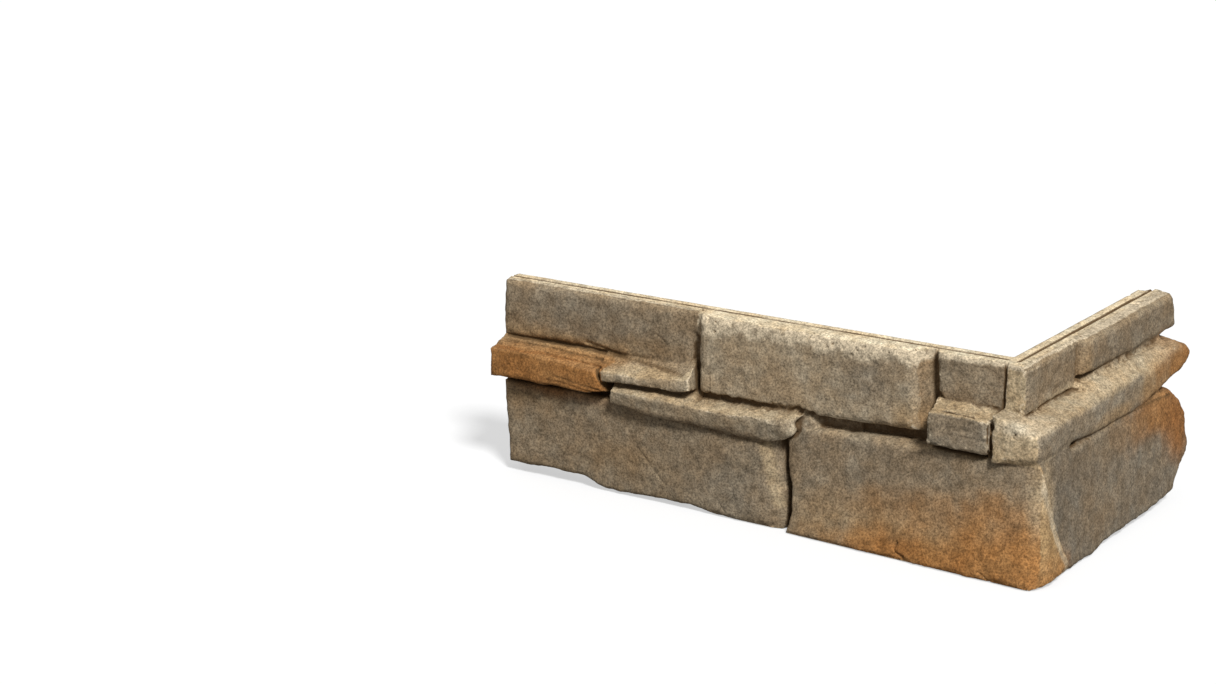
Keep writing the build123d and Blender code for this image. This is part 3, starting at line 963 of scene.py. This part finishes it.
    def carve(self) -> None:
        """Cut the cracks and pits into the faces and the scored line into the top."""
        rules = self.carving
        surface = Surface(self.piece.data)
        points, up = surface.points, surface.up()
        porous = Stone.TOP_MIDDLE.value
        inside = outline_distance(porous.outline, surface.along(porous.leg), up) < 0.0
        depth = porous.crown * inside * surface.on_leg(porous.leg) * (up < self.height - rules.pore_skin)
        pores = rules.pore_mouth.of(rules.pore_place.at(points)) * self.crown(surface, depth)
        wall = surface.on_wall()
        pores = np.maximum(pores, wall * rules.wall_mouth.of(rules.wall_place.at(points)))
        inward = rules.pore_depth * pores
        swell, wander = 1.0 + rules.crack_swell.at(points), rules.crack_wander.at(points)
        for crack in CRACKS:
            line = line_distance(crack.line, surface.along(crack.leg), up)
            near = (line + wander) / (crack.width * swell)
            inward += crack.depth * np.exp(-near * near) * (surface.on_leg(crack.leg) & ~wall)
        for pit in PITS:
            along = surface.along(pit.leg) - pit.middle[0]
            near = np.hypot(along, up - pit.middle[1]) / pit.radius
            inward += pit.depth * np.exp(-near * near) * (surface.on_leg(pit.leg) & ~wall)
        points -= surface.normals * inward[:, None]
        from_line = np.abs(surface.from_wall() - rules.groove_inset + rules.groove_wander.at(points))
        score = rules.groove_depth * smooth_step(rules.groove_width, 0.0, from_line)
        on_top = (up > self.height - rules.top_layer) & (from_line < rules.groove_reach)
        points[:, 2] = np.maximum(np.where(on_top, self.height - score, up), 0.0)
        self.move(points)

    def thin_out(self) -> None:
        """Thin the mesh where it is flat."""
        self.piece.data.calc_loop_triangles()
        count = len(self.piece.data.loop_triangles)
        fewer = self.piece.modifiers.new("fewer", "DECIMATE")
        fewer.ratio = min(1.0, self.triangles / count)
        fewer.use_collapse_triangulate = True
        self.apply(fewer)
        bpy.ops.object.shade_smooth()

    def paint(self) -> None:
        """Store each point's pigment, how bare it is, and how sheltered it is, which sets its painted shade
        and joint stain.
        """
        rules, mesh = self.painting, self.piece.data
        surface = Surface(mesh)
        points, up, rising = surface.points, surface.up(), surface.normals[:, 2]
        down = self.height - up
        tint = np.tile(np.array(Pigment.TAUPE.value), (len(up), 1))
        worn, crown = np.zeros(len(up)), np.zeros(len(up))
        nearest = np.full(len(up), FAR)
        uneven = rules.outline_wander.at(points)
        for stone in Stone:
            face = stone.value
            distance = outline_distance(face.outline, surface.along(face.leg) + uneven, up)
            distance = np.where(surface.on_leg(face.leg), distance, FAR)
            closer = distance < nearest
            nearest = np.where(closer, distance, nearest)
            tint[closer] = face.pigment.value
            worn[closer] = face.worn
            crown[closer] = face.crown
        ledge = rules.ledge_share * rules.ledge_rise.of(rising) * np.minimum(1.0, rules.ledge_worn * worn)
        tint += ledge[:, None] * (np.array(Pigment.SAND.value) - tint)
        blotch = sum(noise.at(points) for noise in rules.patch_blotch)
        for patch in PATCHES:
            along = surface.along(patch.leg) - patch.middle[0]
            far = np.hypot(along / patch.reach[0], (up - patch.middle[1]) / patch.reach[1]) + blotch
            weight = patch.strength * rules.patch_edge.of(far) * surface.on_leg(patch.leg)
            tint += weight[:, None] * (np.array(patch.pigment.value) - tint)
        for streak in STREAKS:
            line = line_distance(streak.line, surface.along(streak.leg) + uneven, up)
            weight = streak.strength * rules.streak_edge.of(line / streak.width) * surface.on_leg(streak.leg)
            tint += weight[:, None] * (np.array(streak.pigment.value) - tint)
        from_wall = surface.from_wall()
        bed = rules.bed_rise.of(rising) * rules.bed_skin.of(down) * rules.bed_front.of(from_wall - crown)
        tint += bed[:, None] * (np.array(Pigment.CHALK.value) - tint)
        back = surface.on_wall() | (up < SKIN)
        tint[back] = Pigment.SAND.value
        bare = np.maximum(read_values(mesh, "edge") * worn, self.crown(surface, crown)) * (1.0 - bed)
        # Painted shade: the more closed in a point is, the darker it is painted towards the joint brown.
        # This is partly joint stain and partly the shade of the recess.
        shelter = np.zeros(len(up))
        shelter = surface.shelter(rules.shelter_rays, rules.shelter_reach)
        # Painted shade in the scored groove, darker the deeper it goes.
        in_groove = np.abs(from_wall - self.carving.groove_inset) < self.carving.groove_reach
        scored = rules.groove_shade.of(down) * (in_groove & (down < self.carving.top_layer))
        add_colours(mesh, "tint", tint)
        add_values(mesh, "bare", bare * ~back)
        closed = rules.joint_stain_and_shade.of(shelter) * (1.0 - rules.ledge_less_joint_shade * ledge)
        add_values(mesh, "joint", np.maximum(closed, scored))

    def dress(self, stone: "CastStone") -> None:
        """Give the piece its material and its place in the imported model.

        Args:
            stone: The finish.
        """
        self.piece.data.materials.append(stone.material())
        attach(self.piece, "root")
        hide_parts("corner_slip")


@dataclass(frozen=True)
class Speckle:
    """A noise in the finish: features to the metre, octaves, how strong the fine ones are, its shades."""

    scale: float
    octaves: float
    fineness: float
    darkest: float = 1.0
    lightest: float = 1.0


class NodeGraph:
    """Adds and links the nodes of one node tree."""

    def __init__(self, tree: bpy.types.NodeTree) -> None:
        """Start with an empty tree."""
        self.tree = tree
        tree.nodes.clear()

    def node(
        self, kind: str, inputs: dict[str | int, object] | None = None, **settings: object
    ) -> bpy.types.Node:
        """Add a node.

        Args:
            kind: The node's type name.
            inputs: Values or sockets for its inputs, by name or number.
            settings: Values for its own settings.

        Returns:
            The node.
        """
        made = self.tree.nodes.new(kind)
        for name, value in settings.items():
            setattr(made, name, value)
        for key, value in (inputs or {}).items():
            if isinstance(value, bpy.types.NodeSocket):
                self.tree.links.new(value, made.inputs[key])
            else:
                made.inputs[key].default_value = value
        return made

    def noise(self, place: bpy.types.NodeSocket, speckle: Speckle) -> bpy.types.NodeSocket:
        """Add a noise.

        Args:
            place: The coordinates that it reads.
            speckle: The noise's scale and octaves.

        Returns:
            Its value.
        """
        inputs = {
            "Vector": place,
            "Scale": speckle.scale,
            "Detail": speckle.octaves,
            "Roughness": speckle.fineness,
        }
        return self.node("ShaderNodeTexNoise", inputs).outputs["Fac"]

    def spread(
        self, value: bpy.types.NodeSocket, ramp: Ramp, to_low: float = 0.0, to_high: float = 1.0
    ) -> bpy.types.NodeSocket:
        """Map a range of values to another, softly.

        Args:
            value: The values.
            ramp: The values that become to_low and to_high.
            to_low: The result at the ramp's low value.
            to_high: The result at the ramp's high value.

        Returns:
            The mapped value.
        """
        inputs = {"Value": value, "From Min": ramp.low, "From Max": ramp.high}
        inputs |= {"To Min": to_low, "To Max": to_high}
        made = self.node("ShaderNodeMapRange", inputs, interpolation_type="SMOOTHSTEP")
        return made.outputs["Result"]

    def sum(self, operation: str, first: object, second: object) -> bpy.types.NodeSocket:
        """Combine two numbers.

        Args:
            operation: The Math node's operation.
            first: A socket or a number.
            second: A socket or a number.

        Returns:
            The result.
        """
        return self.node("ShaderNodeMath", {0: first, 1: second}, operation=operation).outputs["Value"]

    def mix(self, share: object, base: object, other: object, blend: str = "MIX") -> bpy.types.NodeSocket:
        """Mix two colours.

        Args:
            share: How much of the other colour is taken.
            base: The first colour, a socket or a colour.
            other: The second colour, a socket or a colour.
            blend: The Mix node's blend type.

        Returns:
            The mixed colour.
        """
        made = self.node("ShaderNodeMix", data_type="RGBA", blend_type=blend)
        for number, value in ((0, share), (6, base), (7, other)):
            if isinstance(value, bpy.types.NodeSocket):
                self.tree.links.new(value, made.inputs[number])
            elif isinstance(value, tuple):
                made.inputs[number].default_value = (*value, 1.0)
            else:
                made.inputs[number].default_value = value
        return made.outputs[2]


@dataclass(frozen=True)
class CastStone:
    """Matt coloured concrete with a sandy grain, cream on worn edges, and dark brown in its joints and
    scored groove, partly joint stain and partly painted shade.
    """

    roughness: float = 0.92
    specular: float = 0.05
    grain_height: float = 0.10
    grain_strength: float = 0.8
    pore_height: float = 0.22
    pore_strength: float = 0.7
    warm: Colour = (1.06, 1.0, 0.92)
    cool: Colour = (0.95, 1.0, 1.05)
    hue_range: Ramp = Ramp(0.3, 0.7)
    cloud: Speckle = Speckle(42.0, 6.0, 0.62, 0.88, 1.12)
    mottle: Speckle = Speckle(150.0, 5.0, 0.7, 0.69, 1.31)
    sand: Speckle = Speckle(650.0, 4.0, 0.75, 0.40, 1.60)
    shade_range: Ramp = Ramp(0.25, 0.75)
    speck: Speckle = Speckle(620.0, 2.0, 0.6)
    speck_range: Ramp = Ramp(0.64, 0.76)
    speck_share: float = 0.35
    patchy_range: Ramp = Ramp(0.75, 1.25)
    patchy_least: float = 0.55
    patchy_most: float = 1.45
    bare_range: Ramp = Ramp(0.1, 0.9)
    bare_share: float = 0.95
    # How strongly the joint attribute darkens the colour: painted shade, partly joint stain.
    joint_shade_range: Ramp = Ramp(0.0, 1.0)
    joint_shade_share: float = 0.92

    def material(self) -> bpy.types.Material:
        """Make the material.

        Returns:
            The material, which reads the piece's own attributes and place.
        """
        made = bpy.data.materials.new("cast_stone")
        made.use_nodes = True
        graph = NodeGraph(made.node_tree)
        place = graph.node("ShaderNodeTexCoord").outputs["Object"]
        tint = graph.node("ShaderNodeAttribute", attribute_name="tint").outputs["Color"]
        bare = graph.node("ShaderNodeAttribute", attribute_name="bare").outputs["Fac"]
        # The joint attribute carries painted shade of recesses and the groove, partly joint stain.
        joint = graph.node("ShaderNodeAttribute", attribute_name="joint").outputs["Fac"]

        cloud = graph.noise(place, self.cloud)
        mottle = graph.noise(place, self.mottle)
        sand = graph.noise(place, self.sand)
        speck = graph.noise(place, self.speck)

        hue = graph.mix(graph.spread(cloud, self.hue_range), self.warm, self.cool)
        colour = graph.mix(1.0, tint, hue, "MULTIPLY")
        uneven = graph.sum("ADD", cloud, mottle)
        patchy = graph.spread(uneven, self.patchy_range, self.patchy_least, self.patchy_most)
        rubbed = graph.spread(graph.sum("MULTIPLY", bare, patchy), self.bare_range, 0.0, self.bare_share)
        colour = graph.mix(rubbed, colour, Pigment.CREAM.value)
        for noise, speckle in ((cloud, self.cloud), (mottle, self.mottle), (sand, self.sand)):
            grey = graph.spread(noise, self.shade_range, speckle.darkest, speckle.lightest)
            shade = graph.node("ShaderNodeCombineColor", {0: grey, 1: grey, 2: grey}).outputs[0]
            colour = graph.mix(1.0, colour, shade, "MULTIPLY")
        dark = graph.spread(speck, self.speck_range, 0.0, self.speck_share)
        colour = graph.mix(dark, colour, Pigment.DARK_GREY.value)
        # Painted shade and joint stain from the joint attribute.
        closed = graph.spread(joint, self.joint_shade_range, 0.0, self.joint_shade_share)
        colour = graph.mix(closed, colour, Pigment.JOINT.value)

        pore = graph.node(
            "ShaderNodeBump",
            {"Height": mottle, "Distance": self.pore_height * MM, "Strength": self.pore_strength},
        )
        grain = graph.node(
            "ShaderNodeBump",
            {
                "Height": sand,
                "Distance": self.grain_height * MM,
                "Strength": self.grain_strength,
                "Normal": pore.outputs["Normal"],
            },
        )
        shader = graph.node(
            "ShaderNodeBsdfPrincipled",
            {
                "Base Color": colour,
                "Roughness": self.roughness,
                "Specular IOR Level": self.specular,
                "Normal": grain.outputs["Normal"],
            },
        )
        graph.node("ShaderNodeOutputMaterial", {"Surface": shader.outputs["BSDF"]})
        return made


@dataclass
class Studio:
    """A plain pale floor, soft light from the upper right, and the camera. Sizes are in metres."""

    floor_half: float = 20.0
    floor_drop: float = 0.0002
    floor_white: float = 0.95
    floor_bounce: float = 0.25
    floor_glow: float = 1.0
    floor_glow_share: float = 0.55
    sky: float = 0.34
    key: float = 3.5
    key_spread: float = 12.0
    key_azimuth: float = 50.0
    key_elevation: float = 46.0
    key_distance: float = 3.0
    camera_azimuth: float = 32.8
    camera_elevation: float = 16.2
    camera_target: Place = (-0.3328, 0.0, 0.108)
    camera_distance: float = 2.39
    camera_lens: float = 94.74
    sensor: float = 36.0

    def direction(self, azimuth: float, elevation: float) -> Vector:
        """Give the direction from the object towards a place round it.

        Args:
            azimuth: Degrees to the right of straight in front.
            elevation: Degrees above level.

        Returns:
            A vector of length 1.
        """
        a, e = math.radians(azimuth), math.radians(elevation)
        return Vector((math.sin(a) * math.cos(e), -math.cos(a) * math.cos(e), math.sin(e)))

    def seen(self, graph: NodeGraph) -> bpy.types.NodeSocket:
        """Tell the rays that see the background from those that light the object.

        Args:
            graph: The node tree that asks.

        Returns:
            1 for the camera's rays, reflections and what shows through.
        """
        path = graph.node("ShaderNodeLightPath").outputs
        straight = graph.sum("MAXIMUM", path["Is Camera Ray"], path["Is Glossy Ray"])
        return graph.sum("MAXIMUM", straight, path["Is Transmission Ray"])

    def floor(self) -> bpy.types.Object:
        """Lay the floor.

        Returns:
            The floor.
        """
        bpy.ops.object.select_all(action="DESELECT")
        bpy.ops.mesh.primitive_plane_add(size=2 * self.floor_half, location=(0.0, 0.0, -self.floor_drop))
        laid = bpy.context.active_object
        laid.name = "floor"
        made = bpy.data.materials.new("pale_floor")
        made.use_nodes = True
        graph = NodeGraph(made.node_tree)
        white, bounce = (self.floor_white,) * 3, (self.floor_bounce,) * 3
        seen = self.seen(graph)
        shader = graph.node("ShaderNodeBsdfDiffuse", {"Color": graph.mix(seen, bounce, white)})
        glow = graph.node("ShaderNodeEmission", {"Strength": self.floor_glow})
        shown = graph.sum("MULTIPLY", seen, self.floor_glow_share)
        both = graph.node(
            "ShaderNodeMixShader", {0: shown, 1: shader.outputs["BSDF"], 2: glow.outputs["Emission"]}
        )
        graph.node("ShaderNodeOutputMaterial", {"Surface": both.outputs["Shader"]})
        laid.data.materials.append(made)
        return laid

    def light(self) -> None:
        """Set the soft sky and the lamp."""
        world = bpy.data.worlds.new("studio")
        bpy.context.scene.world = world
        world.use_nodes = True
        graph = NodeGraph(world.node_tree)
        white = (1.0, 1.0, 1.0, 1.0)
        lit = graph.node("ShaderNodeBackground", {"Color": white, "Strength": self.sky})
        shown = graph.node("ShaderNodeBackground", {"Color": white, "Strength": 1.0})
        shares = {0: self.seen(graph), 1: lit.outputs["Background"], 2: shown.outputs["Background"]}
        both = graph.node("ShaderNodeMixShader", shares)
        graph.node("ShaderNodeOutputWorld", {"Surface": both.outputs["Shader"]})
        lamp = bpy.data.lights.new("key", "SUN")
        lamp.energy = self.key
        lamp.angle = math.radians(self.key_spread)
        hung = bpy.data.objects.new("key", lamp)
        towards = self.direction(self.key_azimuth, self.key_elevation)
        hung.location = towards * self.key_distance
        hung.rotation_euler = (-towards).to_track_quat("-Z", "Y").to_euler()
        bpy.context.scene.collection.objects.link(hung)

    def camera(self) -> None:
        """Set the camera at the photograph's angle."""
        lens = bpy.data.cameras.new("camera")
        lens.lens = self.camera_lens
        lens.sensor_width = self.sensor
        stand = bpy.data.objects.new("camera", lens)
        towards = self.direction(self.camera_azimuth, self.camera_elevation)
        stand.location = Vector(self.camera_target) + towards * self.camera_distance
        stand.rotation_euler = (-towards).to_track_quat("-Z", "Y").to_euler()
        bpy.context.scene.collection.objects.link(stand)
        bpy.context.scene.camera = stand


def main() -> None:
    """Build the casting and the studio."""
    logging.basicConfig(level=logging.INFO, format="%(name)s: %(message)s")
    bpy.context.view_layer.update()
    slip = CornerSlip(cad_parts["corner_slip"])
    piece = slip.build()
    slip.dress(CastStone())
    log.info("%s: %d vertices, %d faces", piece.name, len(piece.data.vertices), len(piece.data.polygons))
    studio = Studio()
    log.info("%s laid", studio.floor().name)
    studio.light()
    studio.camera()
    bpy.context.scene.view_settings.view_transform = "Standard"


if __name__ == "__main__":
    main()
